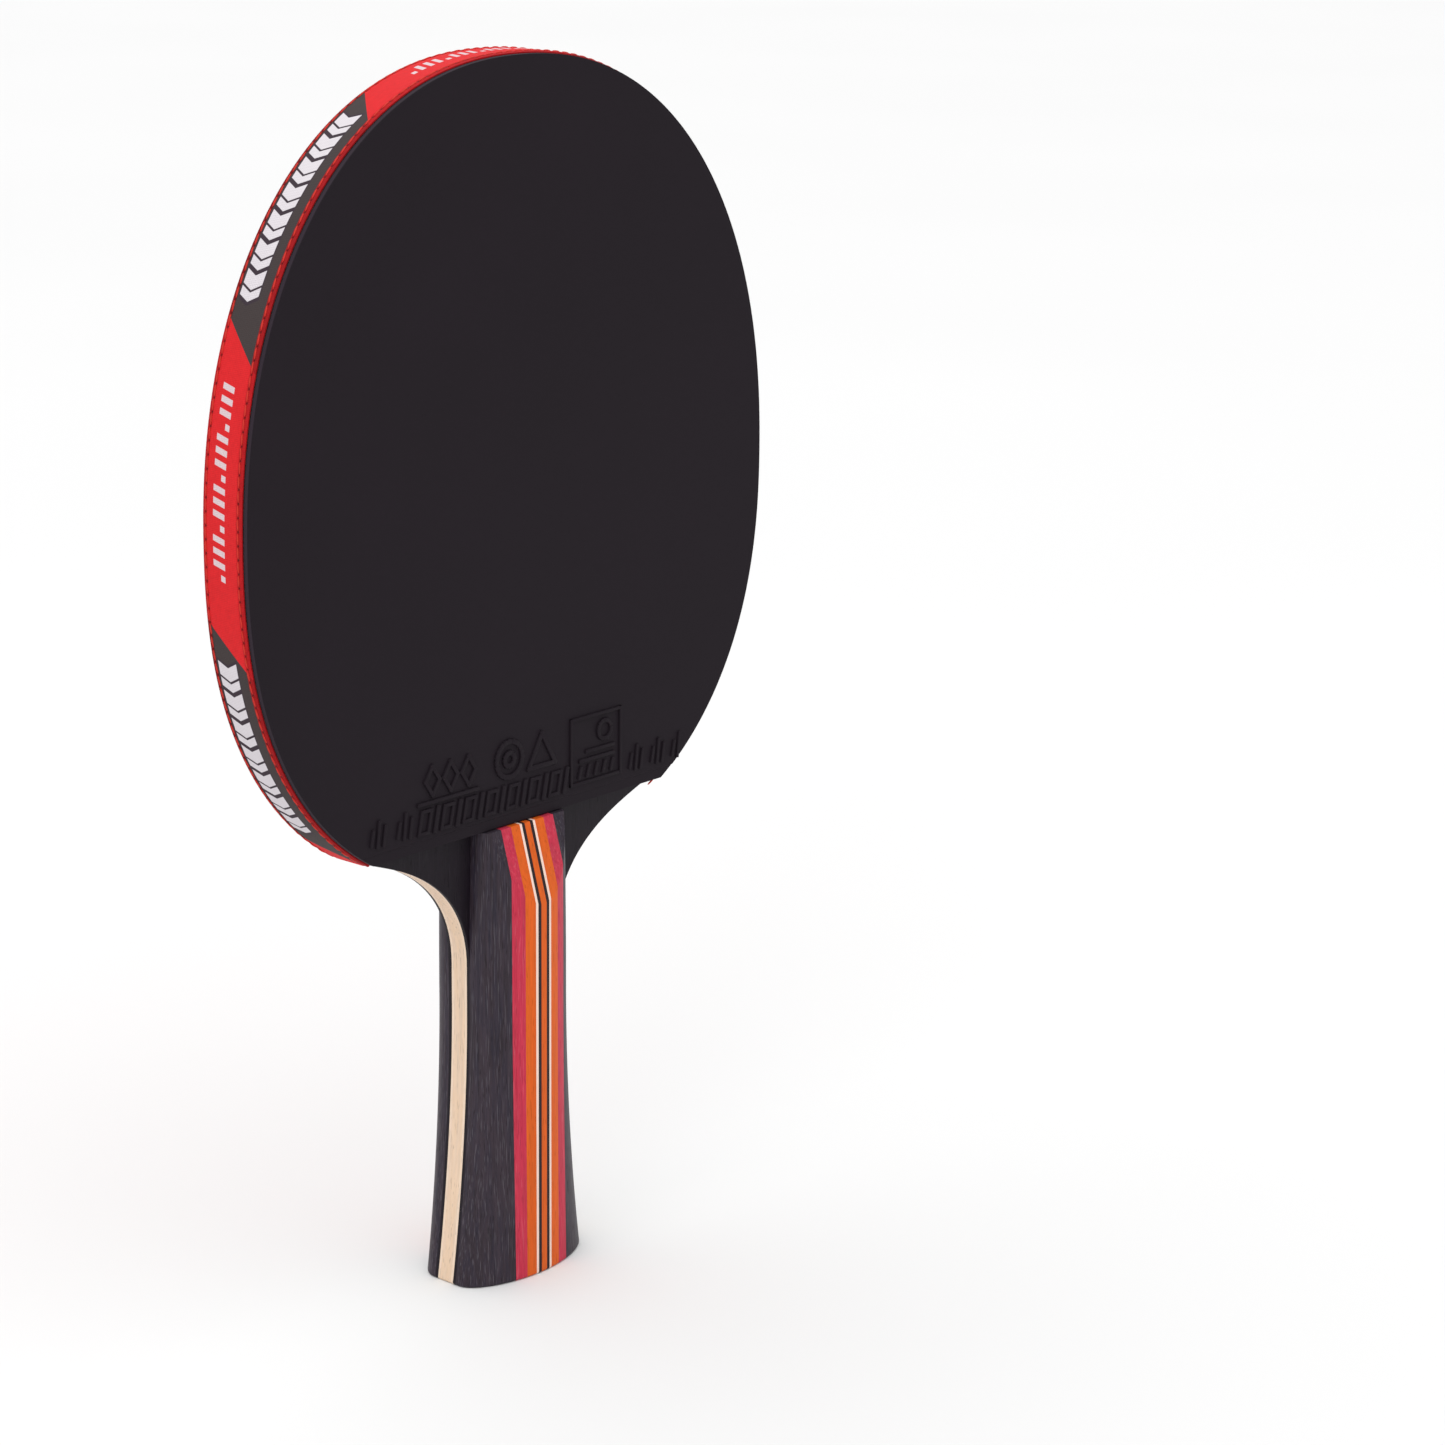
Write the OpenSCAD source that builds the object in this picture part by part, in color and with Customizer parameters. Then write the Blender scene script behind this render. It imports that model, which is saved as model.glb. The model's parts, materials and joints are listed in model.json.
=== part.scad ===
// Shakehand table tennis paddle, standing on the flat end of its handle.
// X runs across the hitting faces, Y through the thickness with the front face
// towards -Y, and Z up from the middle of the handle's end. Left is -X.

/* [Head] */
// Widest part of the blade
head_w = 150; // [140:0.5:180]
// Height of the head's crown above its widest level
crown_h = 90; // [75:0.5:108]
// Height of the widest level above the rubbers' lower edge
cheek_h = 67.5; // [56:0.5:81]
// Length of the rubbers' straight lower edge
rubber_edge_w = 86.6; // [72:0.1:104]
// Superellipse power of the outline above the widest level
crown_power = 2.2; // [2:0.05:2.6]
// Superellipse power of the outline below the widest level
cheek_power = 2.3; // [2:0.05:2.8]

/* [Blade plies] */
// Thickness of the core ply
core_t = 3.2; // [2.5:0.1:4.5]
// Thickness of each pale inner ply
inner_ply_t = 0.6; // [0.4:0.1:1]
// Thickness of each dyed face ply
face_ply_t = 0.8; // [0.3:0.1:1]

/* [Neck] */
// Length of the curved neck below the rubbers' lower edge
neck_l = 30; // [24:0.5:36]
// How far the neck curve keeps to the handle's line before it turns out
neck_pull = 23; // [16:0.5:28]
// How far the neck curve keeps to the head's line before it turns down
wing_pull = 5.5; // [2:0.5:12]

/* [Rubbers] */
// Thickness of each sponge
sponge_t = 1.8; // [1:0.1:2.3]
// Thickness of each topsheet, with its pimples
topsheet_t = 1.5; // [1.2:0.1:2]

/* [Edge tape] */
// Width of the tape around the rim
tape_w = 10.8; // [8:0.1:12]
// Thickness of the tape
tape_t = 0.5; // [0.3:0.05:0.8]
// How far the tape sits off centre, towards the back
tape_shift = 0.5; // [0:0.1:1]
// Distance of each row of stitches from the tape's border
stitch_inset = 0.9; // [0.8:0.1:2]
// Width of the sewing thread
stitch_w = 0.5; // [0.3:0.05:0.7]
// Height of the sewing thread above the tape
stitch_t = 0.2; // [0.1:0.05:0.3]

/* [Handle] */
// Length of the handle below the rubbers' lower edge
handle_l = 100; // [84:0.5:120]
// Thickness of the handle
handle_t = 24; // [20:0.5:29]
// Width of the handle at its end
butt_w = 36.2; // [30:0.1:43]
// Width of the handle at its waist
waist_w = 26.3; // [22:0.1:31]
// Width of the handle scales where they meet the rubbers
tip_w = 24.9; // [20.5:0.1:29]
// Height of the waist above the handle's end
waist_z = 62; // [50:0.5:66]
// Power of the flare from the waist to the end
flare_power = 1.9; // [1.5:0.1:3]
// Superellipse power of the crowned section
section_power = 1.9; // [1.8:0.1:3]
// Height of the flat land along each side of a scale
side_land = 0.8; // [0.5:0.1:2]
// Length of the flat ramp at the top of each scale
ramp_l = 17; // [12:0.5:22]
// Thickness across both scales at the top of their ramps
tip_t = 14.2; // [13:0.1:17]
// Clearance between the scales and the rubbers' lower edge
rubber_gap = 0.2; // [0.1:0.05:0.5]

/* [Handle laminate] */
// Width of the orange strip down the middle
centre_w = 1.6; // [1:0.1:2.4]
// Width of each black line
black_w = 0.85; // [0.5:0.05:1]
// Width of each white line
white_w = 0.65; // [0.5:0.05:1]
// Width of each outer orange strip
orange_w = 2.6; // [1.8:0.1:3.2]
// Width of each crimson strip
crimson_w = 2.9; // [2:0.1:3.5]

/* [Hidden] */
blade_t = core_t + 2 * (inner_ply_t + face_ply_t);
sponge_y = blade_t / 2;
topsheet_y = sponge_y + sponge_t;
tape_y = tape_shift - tape_w / 2;

// The lower outline would reach this far below the widest level if it were not cut
cheek_reach = cheek_h / pow(1 - pow(rubber_edge_w / head_w, cheek_power), 1 / cheek_power);
widest_z = handle_l + cheek_h;
// Where the rubbers' lower edge cuts the lower outline
cut_angle = asin(pow(cheek_h / cheek_reach, cheek_power / 2));

head_steps = 92;
neck_steps = 14;
grip_steps = 16;
ramp_steps = 4;

neck_z = handle_l - neck_l;
scale_l = handle_l - rubber_gap;
crown_y = handle_t / 2;
side_y = blade_t / 2 + side_land;
ramp_z = handle_l - ramp_l;
ramp_slope = (crown_y - tip_t / 2) / ramp_l;
// The ramp's crease stays this far below the scale's top end
crease_margin = 2;

// Half the width from the middle to the outer side of each strip
black_x = centre_w / 2;
white_x = black_x + black_w;
orange_x = white_x + white_w;
crimson_x = orange_x + orange_w;
grey_x = crimson_x + crimson_w;

FACES = ["front", "back"];
SIDES = ["left", "right"];
SIDE_STRIPS = ["black_line", "white_line", "orange_strip", "crimson_strip", "grey_side"];

PALE_WOOD = "#e2cdb8";
INNER_WOOD = "#d8bd98";
DYED_WOOD = "#2c262c";
GREY_WOOD = "#3c3944";
CRIMSON_WOOD = "#c83c55";
ORANGE_WOOD = "#de6923";
WHITE_WOOD = "#fbe9dc";
BLACK_WOOD = "#2a222a";
BLACK_RUBBER = "#232127";
RED_RUBBER = "#b4232a";
SPONGE = "#4a4746";
TAPE_RED = "#d8302f";
THREAD_RED = "#a41f22";

// ---- Outlines, as [x, z] points ----

// A point on the head's rim at an angle, moved outwards by off
function rim_point(angle, off = 0) =
    let (
        upper = angle >= 0 && angle <= 180,
        power = upper ? crown_power : cheek_power,
        reach_x = head_w / 2,
        reach_z = upper ? crown_h : cheek_reach,
        u = abs(cos(angle)) < 1e-9 ? 0 : sign(cos(angle)) * pow(abs(cos(angle)), 2 / power),
        v = abs(sin(angle)) < 1e-9 ? 0 : sign(sin(angle)) * pow(abs(sin(angle)), 2 / power),
        nx = sign(u) * pow(abs(u), power - 1) / reach_x,
        nz = sign(v) * pow(abs(v), power - 1) / reach_z,
        n = norm([nx, nz])
    )
    [reach_x * u + off * nx / n, widest_z + reach_z * v + off * nz / n];

// The rim from the rubbers' right lower corner, over the crown, to the left one
function rim(off = 0) = [
    for (i = [0 : head_steps])
        rim_point(-cut_angle + i * (180 + 2 * cut_angle) / head_steps, off)
];

// Half the width of the handle at height z
function handle_half_w(z) =
    z < waist_z
    ? waist_w / 2 + (butt_w - waist_w) / 2 * pow(1 - z / waist_z, flare_power)
    : waist_w / 2 - (waist_w - tip_w) / 2 * pow((z - waist_z) / (handle_l - waist_z), 2);

function bezier(p, t) =
    pow(1 - t, 3) * p[0] + 3 * pow(1 - t, 2) * t * p[1] + 3 * (1 - t) * t * t * p[2] + t * t * t * p[3];

// The right side of the blade from the handle's end to the foot of the rim
function blade_side() =
    let (
        corner = rim_point(-cut_angle),
        along = rim_point(-cut_angle + 1) - corner,
        foot = [handle_half_w(neck_z), neck_z],
        neck = [
            foot,
            foot + [0, neck_pull],
            corner - wing_pull * along / norm(along),
            corner
        ]
    )
    concat(
        [for (i = [0 : grip_steps - 1]) let (z = neck_z * i / grip_steps) [handle_half_w(z), z]],
        [for (i = [0 : neck_steps - 1]) bezier(neck, i / neck_steps)]
    );

function mirrored(points) = [for (i = [len(points) - 1 : -1 : 0]) [-points[i][0], points[i][1]]];

// ---- Sheets and bands across the thickness ----

// Extrudes a face outline from y to y + t
module sheet(y, t) {
    translate([0, y + t, 0]) rotate([90, 0, 0]) linear_extrude(t) children();
}

// Turns a piece made at the back, towards +Y, to the named face
module on_face(face) {
    if (face == "back") children();
    else mirror([0, 1, 0]) children();
}

module blade_sheet(y, t) {
    side = blade_side();
    sheet(y, t) polygon(concat(side, rim(), mirrored(side)));
}

module rubber_sheet(y, t) {
    sheet(y, t) polygon(rim());
}

// A band around the rim between two distances from it, open at the bottom
module rim_band(y, w, inner, outer) {
    points = rim(inner);
    sheet(y, w) polygon(concat(rim(outer), [for (i = [len(points) - 1 : -1 : 0]) points[i]]));
}

// ---- Blade ----

module core_ply() {
    color(PALE_WOOD) blade_sheet(-core_t / 2, core_t);
}

module inner_ply(face) {
    color(INNER_WOOD) on_face(face) blade_sheet(core_t / 2, inner_ply_t);
}

module face_ply(face) {
    color(DYED_WOOD) on_face(face) blade_sheet(core_t / 2 + inner_ply_t, face_ply_t);
}

// ---- Rubbers ----

module sponge(face) {
    color(SPONGE) on_face(face) rubber_sheet(sponge_y, sponge_t);
}

module topsheet(face) {
    color(face == "front" ? BLACK_RUBBER : RED_RUBBER)
        on_face(face) rubber_sheet(topsheet_y, topsheet_t);
}

// ---- Edge tape ----

module edge_tape() {
    color(TAPE_RED) rim_band(tape_y, tape_w, 0, tape_t);
}

module tape_stitching(face) {
    y = face == "front" ? tape_y + stitch_inset : tape_y + tape_w - stitch_inset;
    color(THREAD_RED) rim_band(y - stitch_w / 2, stitch_w, tape_t, tape_t + stitch_t);
}

// ---- Handle scales, laminated from strips that stand side by side ----

// Height of the crowned surface over the blade's mid-plane
function crown_at(x, z) =
    side_y + (crown_y - side_y)
        * pow(max(0, 1 - pow(abs(x) / handle_half_w(z), section_power)), 1 / section_power);

// The crowned surface, cut by the flat ramp at the top
function scale_at(x, z) = min(crown_at(x, z), tip_t / 2 + (handle_l - z) * ramp_slope);

// Level at which the ramp cuts the crown
function crease_z(x) =
    min(handle_l - (crown_at(x, ramp_z) - tip_t / 2) / ramp_slope, scale_l - crease_margin);

// A strip of the back scale. Its columns run from x_from to x_to, or to the
// handle's side where x_to is undef
module laminate_strip(x_from, x_to, columns) {
    rows = grip_steps + ramp_steps;
    function column_x(i, z) =
        is_undef(x_to)
        ? x_from + (handle_half_w(z) - x_from) * sin(90 * i / columns)
        : x_from + (x_to - x_from) * i / columns;
    function row_z(i, j) =
        let (crease = crease_z(column_x(i, ramp_z)))
        j <= grip_steps
        ? crease * j / grip_steps
        : crease + (scale_l - crease) * (j - grip_steps) / ramp_steps;
    function surface_point(i, j) =
        let (z = row_z(i, j), x = column_x(i, z)) [x, scale_at(x, z), z];
    grid = [for (j = [0 : rows], i = [0 : columns]) surface_point(i, j)];
    base = [for (p = grid) [p[0], blade_t / 2, p[2]]];
    n = len(grid);
    function at(i, j) = j * (columns + 1) + i;
    polyhedron(
        points = concat(grid, base),
        faces = concat(
            [for (j = [0 : rows - 1], i = [0 : columns - 1])
                [at(i, j), at(i + 1, j), at(i + 1, j + 1), at(i, j + 1)]],
            [for (j = [0 : rows - 1], i = [0 : columns - 1])
                [n + at(i, j + 1), n + at(i + 1, j + 1), n + at(i + 1, j), n + at(i, j)]],
            [for (i = [0 : columns - 1], j = [0, rows])
                let (a = at(i, j), b = at(i + 1, j))
                j == 0 ? [b, a, n + a, n + b] : [a, b, n + b, n + a]],
            [for (j = [0 : rows - 1], i = [0, columns])
                let (a = at(i, j), b = at(i, j + 1))
                i == 0 ? [a, b, n + b, n + a] : [b, a, n + a, n + b]]
        ),
        convexity = 4
    );
}

// Puts a strip made on the right of the back scale on the named side and face
module on_side(face, side) {
    on_face(face) {
        if (side == "right") children();
        else mirror([1, 0, 0]) children();
    }
}

module centre_strip(face) {
    color(ORANGE_WOOD) on_face(face) laminate_strip(-black_x, black_x, 2);
}

module black_line(face, side) {
    color(BLACK_WOOD) on_side(face, side) laminate_strip(black_x, white_x, 1);
}

module white_line(face, side) {
    color(WHITE_WOOD) on_side(face, side) laminate_strip(white_x, orange_x, 1);
}

module orange_strip(face, side) {
    color(ORANGE_WOOD) on_side(face, side) laminate_strip(orange_x, crimson_x, 2);
}

module crimson_strip(face, side) {
    color(CRIMSON_WOOD) on_side(face, side) laminate_strip(crimson_x, grey_x, 2);
}

module grey_side(face, side) {
    color(GREY_WOOD) on_side(face, side) laminate_strip(grey_x, undef, 7);
}

// ---- Assembly ----

core_ply();
edge_tape();

for (face = FACES) {
    inner_ply(face);
    face_ply(face);
    sponge(face);
    topsheet(face);
    tape_stitching(face);
    centre_strip(face);

    for (side = SIDES) {
        strip = str(face, "_", side);
        black_line(face, side);
        white_line(face, side);
        orange_strip(face, side);
        crimson_strip(face, side);
        grey_side(face, side);
    }
}
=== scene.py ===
"""The finished look of a shakehand table tennis paddle, built around its packed frame.

X runs across the hitting faces, Y through the thickness with the front face towards -Y, and Z up
the handle. Outlines are (x, z) points, and every length is in metres.
"""

import json
import math
from collections import namedtuple

import bmesh
import bpy
from bpy.props import FloatProperty, FloatVectorProperty, PointerProperty
from mathutils import Matrix, Vector
from mathutils.kdtree import KDTree


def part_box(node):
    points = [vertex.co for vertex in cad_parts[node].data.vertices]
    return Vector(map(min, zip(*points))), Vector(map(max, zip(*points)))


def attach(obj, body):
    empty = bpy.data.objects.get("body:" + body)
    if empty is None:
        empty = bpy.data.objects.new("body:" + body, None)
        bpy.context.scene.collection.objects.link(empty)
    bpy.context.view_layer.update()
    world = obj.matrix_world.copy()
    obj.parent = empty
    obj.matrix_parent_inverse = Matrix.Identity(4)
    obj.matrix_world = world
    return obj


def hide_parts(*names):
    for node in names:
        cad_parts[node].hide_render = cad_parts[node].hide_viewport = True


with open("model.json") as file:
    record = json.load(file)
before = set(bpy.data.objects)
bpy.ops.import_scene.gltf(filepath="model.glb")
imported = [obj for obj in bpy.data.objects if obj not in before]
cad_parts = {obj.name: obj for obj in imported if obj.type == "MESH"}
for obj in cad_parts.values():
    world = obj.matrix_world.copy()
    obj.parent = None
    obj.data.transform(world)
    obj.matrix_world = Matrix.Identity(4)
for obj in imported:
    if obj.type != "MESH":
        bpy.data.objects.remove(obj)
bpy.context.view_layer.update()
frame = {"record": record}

bl_info = {
    "name": "Table tennis paddle",
    "version": (1, 0, 0),
    "blender": (4, 5, 0),
    "location": "3D View > Sidebar > Paddle",
    "description": "Builds a shakehand table tennis paddle piece by piece around its frame",
    "category": "Object",
}

MM = 0.001
FACES = ("front", "back")
SIDES = ("left", "right")
SIDE_STRIPS = ("black_line", "white_line", "orange_strip", "crimson_strip", "grey_side")
SMOOTH_LIMIT = math.radians(35)
# Points nearer than this are taken to be at the same place
TINY = 0.001 * MM
# How far the closed parts of one piece run into each other
OVERLAP = 0.05 * MM

Station = namedtuple("Station", "x z out_x out_z along")
# How a wood differs along its grain: the shares are of its own tint or of full strength
WoodLook = namedtuple("WoodLook", "contrast cool pores flecks fleck_tint coat")


# ---- Settings ----

def length(name, description, default):
    return FloatProperty(
        name=name, description=description, default=default, min=0, precision=5, unit="LENGTH",
    )


def number(name, description, default):
    return FloatProperty(name=name, description=description, default=default, min=0)


def angle(name, description, degrees):
    return FloatProperty(name=name, description=description, default=math.radians(degrees), subtype="ANGLE")


def colour(name, description, code):
    """A colour setting whose default is given as the six hexadecimal digits of its sRGB values."""
    shares = [int(code[i:i + 2], 16) / 255 for i in (0, 2, 4)]
    linear = [s / 12.92 if s <= 0.04045 else ((s + 0.055) / 1.055) ** 2.4 for s in shares]
    return FloatVectorProperty(
        name=name, description=description, default=linear, min=0, max=1, subtype="COLOR",
    )


class PADDLE_PG_head(bpy.types.PropertyGroup):
    """Outline of the head and the neck"""

    crown_power: number("Crown power", "Superellipse power of the outline above the widest level", 2.2)
    cheek_power: number("Cheek power", "Superellipse power of the outline below the widest level", 2.3)
    edge_w: length("Lower edge", "Length of the rubbers' straight lower edge", 86.6 * MM)
    neck_l: length("Neck length", "Length of the curved neck below the rubbers' lower edge", 30 * MM)
    neck_pull: length("Neck pull", "How far the neck curve keeps to the handle's line", 23 * MM)
    wing_pull: length("Wing pull", "How far the neck curve keeps to the head's line", 5.5 * MM)
    neck_round: length("Neck rounding", "Radius of the sanded edge along the neck", 0.45 * MM)


class PADDLE_PG_handle(bpy.types.PropertyGroup):
    """Shape of the two handle scales"""

    waist_w: length("Waist width", "Width of the handle at its waist", 26.3 * MM)
    tip_w: length("Tip width", "Width of the scales where they meet the rubbers", 24.9 * MM)
    waist_z: length("Waist height", "Height of the waist above the handle's end", 62 * MM)
    flare_power: number("Flare power", "Power of the flare from the waist to the end", 1.9)
    section_power: number("Section power", "Superellipse power of the crowned section", 1.9)
    side_land: length("Side land", "Height of the flat land along each side of a scale", 0.8 * MM)
    ramp_l: length("Ramp length", "Length of the flat ramp at the top of each scale", 17 * MM)
    tip_t: length("Tip thickness", "Thickness across both scales at the top of their ramps", 14.2 * MM)
    end_round: length("End rounding", "Radius of the sanded edge around the handle's end", 0.6 * MM)


class PADDLE_PG_rubbers(bpy.types.PropertyGroup):
    """Detail of the topsheets and sponges"""

    skin_t: length("Skin", "Thickness of the smooth skin over the pimples", 1.15 * MM)
    skin_round: length("Skin rounding", "Radius of the skin's cut edge", 0.12 * MM)
    pimple_pitch: length("Pimple pitch", "Distance between pimples", 2.1 * MM)
    pimple_w: length("Pimple width", "Width of a pimple where it meets the sponge", 1.6 * MM)
    pimple_band: length("Pimple band", "How far in from the rim the pimples are made", 9 * MM)
    margin_h: length("Plain margin", "Height of the plain strip along the lower edge", 2.4 * MM)
    margin_drop: length("Margin drop", "How far the plain strip lies below the face", 0.15 * MM)
    relief_h: length("Relief height", "How far the moulded marks stand out of the face", 0.45 * MM)
    relief_w: length("Relief width", "Width of a moulded stroke", 0.85 * MM)
    relief_round: length("Relief rounding", "Radius of a moulded stroke's edges", 0.08 * MM)
    front_colour: colour("Front rubber", "Colour of the black rubber", "1f191f")
    back_colour: colour("Back rubber", "Colour of the red rubber", "a81d22")
    sponge_colour: colour("Sponge", "Colour of the sponges", "4a4746")


class PADDLE_PG_tape(bpy.types.PropertyGroup):
    """Weave, print and stitching of the edge tape"""

    border_round: length("Border rounding", "Radius of the tape's folded borders", 0.35 * MM)
    repeat_l: length("Repeat", "Length after which the print starts again", 113.1 * MM)
    panel_l: length("Dark panel", "Length of a dark panel", 54.3 * MM)
    first_join: length("First join", "Where the first dark panel starts along the rim", 22 * MM)
    front_selvedge: length("Front selvedge", "Width of the red border on the front side", 1.35 * MM)
    back_selvedge: length("Back selvedge", "Width of the red border on the back side", 1 * MM)
    stitch_pitch: length("Stitch pitch", "Distance between stitches", 2.7 * MM)
    stitch_l: length("Stitch length", "Length of one stitch", 2.3 * MM)
    stitch_t: length("Stitch thickness", "Thickness of one stitch, half of it in the cloth", 0.4 * MM)
    stitch_lean: angle("Stitch lean", "How far each stitch is turned off the seam's line", 4)
    red: colour("Red", "Colour of the red print", "dc2429")
    selvedge: colour("Selvedge", "Colour of the two borders", "b5161c")
    dark: colour("Dark", "Colour of the dark panels", "433b3b")
    light: colour("Light", "Colour of the printed marks", "dcd6db")
    thread: colour("Thread", "Colour of the sewing thread", "cb3228")


class PADDLE_PG_woods(bpy.types.PropertyGroup):
    """Colours of the blade's plies and of the handle's strips"""

    pale_wood: colour("Pale wood", "Core ply", "e0c6ae")
    inner_wood: colour("Inner wood", "Inner plies", "e6cfba")
    dyed_wood: colour("Dyed wood", "Face plies", "19121a")
    grey_wood: colour("Grey wood", "Outer sides of the scales", "342b33")
    crimson_wood: colour("Crimson wood", "Crimson strips", "c1334a")
    orange_wood: colour("Orange wood", "Orange strips", "d85f1b")
    white_wood: colour("White wood", "White lines", "f4d8cb")
    black_wood: colour("Black wood", "Black lines", "2a1d20")


class PADDLE_PG_stage(bpy.types.PropertyGroup):
    """Camera, lights and floor"""

    azimuth: angle("Azimuth", "Turn of the camera around the paddle, from straight in front", -49.7545)
    elevation: angle("Elevation", "Angle of the camera's view below the horizon", 15.3721)
    roll: angle("Roll", "Roll of the camera about its view", 0.7227)
    lens: number("Lens", "Focal length in millimetres on a 36 mm wide sensor", 89.674)
    place: FloatVectorProperty(
        name="Place", description="Where the camera stands", default=(-0.52104, -0.50112, 0.31890),
        unit="LENGTH",
    )
    key_power: number("Key power", "Power of the soft light on the left, in watts", 5.0)
    horizon_strength: number("Horizon strength", "Brightness of the light from all around", 0.28)
    overhead_gain: number("Overhead gain", "How much brighter the light is straight above", 1.45)
    floor_share: number("Floor", "Share of the light that the floor gives back", 0.78)


# ---- Sizes and outlines ----

class Paddle:
    """The paddle's sizes and outlines, worked out from the frame and the settings."""

    def __init__(self):
        self.head = bpy.context.scene.paddle_head
        self.handle = bpy.context.scene.paddle_handle
        low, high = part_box("back_sponge")
        mounts = {mount["name"]: mount for mount in frame["record"]["mounts"]}
        self.edge_z = low.z
        self.half_w = high.x
        self.widest_z = mounts["back_face"]["pos_m"][2]
        self.crown_h = high.z - self.widest_z
        self.blade_y = low.y
        self.scale_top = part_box("back_centre_strip")[1].z
        self.crown_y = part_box("back_centre_strip")[1].y
        self.butt_w = 2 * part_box("back_right_grey_side")[1].x
        self.neck_z = self.edge_z - self.head.neck_l
        cheek_h = self.widest_z - self.edge_z
        power = self.head.cheek_power
        cut_share = self.head.edge_w / 2 / self.half_w
        self.cheek_reach = cheek_h / (1 - cut_share ** power) ** (1 / power)
        self.cut_angle = math.asin((cheek_h / self.cheek_reach) ** (power / 2))

    def rim_point(self, turn, off=0.0):
        """A point of the head's rim at an angle, moved outwards by off, and the outward direction there."""
        upper = 0 <= turn <= math.pi
        power = self.head.crown_power if upper else self.head.cheek_power
        reach = self.crown_h if upper else self.cheek_reach
        u = math.copysign(abs(math.cos(turn)) ** (2 / power), math.cos(turn))
        v = math.copysign(abs(math.sin(turn)) ** (2 / power), math.sin(turn))
        out = Vector((
            math.copysign(abs(u) ** (power - 1), u) / self.half_w,
            math.copysign(abs(v) ** (power - 1), v) / reach,
        )).normalized()
        return Vector((self.half_w * u, self.widest_z + reach * v)) + off * out, out

    def rim(self, spacing, off=0.0):
        """Evenly spaced stations along the rim, from its right foot over the crown to its left foot."""
        fine = 3000
        start, sweep = -self.cut_angle, math.pi + 2 * self.cut_angle
        points = [self.rim_point(start + sweep * i / fine, off)[0] for i in range(fine + 1)]
        travelled = [0.0]
        for before, after in zip(points, points[1:]):
            travelled.append(travelled[-1] + (after - before).length)
        count = round(travelled[-1] / spacing)
        stations, i = [], 0
        for k in range(count + 1):
            along = travelled[-1] * k / count
            while i < fine - 1 and travelled[i + 1] < along:
                i += 1
            share = (along - travelled[i]) / (travelled[i + 1] - travelled[i])
            point, out = self.rim_point(start + sweep * (i + share) / fine, off)
            stations.append(Station(point.x, point.y, out.x, out.y, along))
        return stations

    def lower_half_width(self, z):
        """Half the width of the head at height z, below its widest level."""
        power = self.head.cheek_power
        return self.half_w * (1 - ((self.widest_z - z) / self.cheek_reach) ** power) ** (1 / power)

    def half_width(self, z):
        """Half the width of the handle at height z."""
        handle = self.handle
        if z < handle.waist_z:
            flare = (1 - z / handle.waist_z) ** handle.flare_power
            return handle.waist_w / 2 + (self.butt_w - handle.waist_w) / 2 * flare
        narrowing = ((z - handle.waist_z) / (self.edge_z - handle.waist_z)) ** 2
        return handle.waist_w / 2 - (handle.waist_w - handle.tip_w) / 2 * narrowing

    def crown_at(self, x, z):
        """Height of a scale's crowned surface over the blade's mid-plane."""
        side_y = self.blade_y + self.handle.side_land
        power = self.handle.section_power
        fall = min(1.0, abs(x) / self.half_width(z)) ** power
        return side_y + (self.crown_y - side_y) * (1 - fall) ** (1 / power)

    def blade_side(self):
        """The right side of the blade from the handle's end to the foot of the rim."""
        grip_steps, neck_steps = 40, 36
        head = self.head
        corner = self.rim_point(-self.cut_angle)[0]
        ahead = self.rim_point(-self.cut_angle + math.radians(1))[0]
        foot = Vector((self.half_width(self.neck_z), self.neck_z))
        neck = (
            foot,
            foot + Vector((0, head.neck_pull)),
            corner - head.wing_pull * (ahead - corner).normalized(),
            corner,
        )
        heights = [self.neck_z * i / grip_steps for i in range(grip_steps)]
        grip = [(self.half_width(z), z) for z in heights]
        return grip + [tuple(bezier(neck, i / neck_steps)) for i in range(neck_steps)]

    def blade_outline(self):
        side = self.blade_side()
        rim = [(s.x, s.z) for s in self.rim(1.4 * MM)]
        return side + rim + [(-x, z) for x, z in reversed(side)]

    def rubber_outline(self):
        return [(s.x, s.z) for s in self.rim(1.2 * MM)]


def bezier(p, t):
    return (1 - t) ** 3 * p[0] + 3 * (1 - t) ** 2 * t * p[1] + 3 * (1 - t) * t * t * p[2] + t ** 3 * p[3]


# ---- Mesh helpers ----

def to_mesh(bm, name):
    """Turns a bmesh into a mesh and frees it."""
    mesh = bpy.data.meshes.new(name)
    bm.to_mesh(mesh)
    bm.free()
    return mesh


def merge(bm, part):
    """Adds another bmesh, which is freed."""
    mesh = to_mesh(part, "part")
    bm.from_mesh(mesh)
    bpy.data.meshes.remove(mesh)


def verts_of(result):
    return [part for part in result["geom"] if isinstance(part, bmesh.types.BMVert)]


def sheet_solid(outline, low_y, high_y):
    """A flat sheet with an (x, z) outline, between two levels of y."""
    bm = bmesh.new()
    bm.faces.new([bm.verts.new((x, low_y, z)) for x, z in outline])
    grown = bmesh.ops.extrude_face_region(bm, geom=bm.faces[:])
    bmesh.ops.translate(bm, verts=verts_of(grown), vec=(0, high_y - low_y, 0))
    bmesh.ops.recalc_face_normals(bm, faces=bm.faces[:])
    return bm


def round_edges(bm, edges, radius, segments=2):
    bmesh.ops.bevel(
        bm, geom=edges, offset=radius, segments=segments, profile=0.5, affect="EDGES", material=-1,
        clamp_overlap=True,
    )


def hold_flat(bm):
    """Gives each large flat face a narrow border, so that it shades flat up to a rounded edge."""
    large = [face for face in bm.faces if len(face.verts) > 60]
    bmesh.ops.inset_individual(bm, faces=large, thickness=0.1 * MM)


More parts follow.
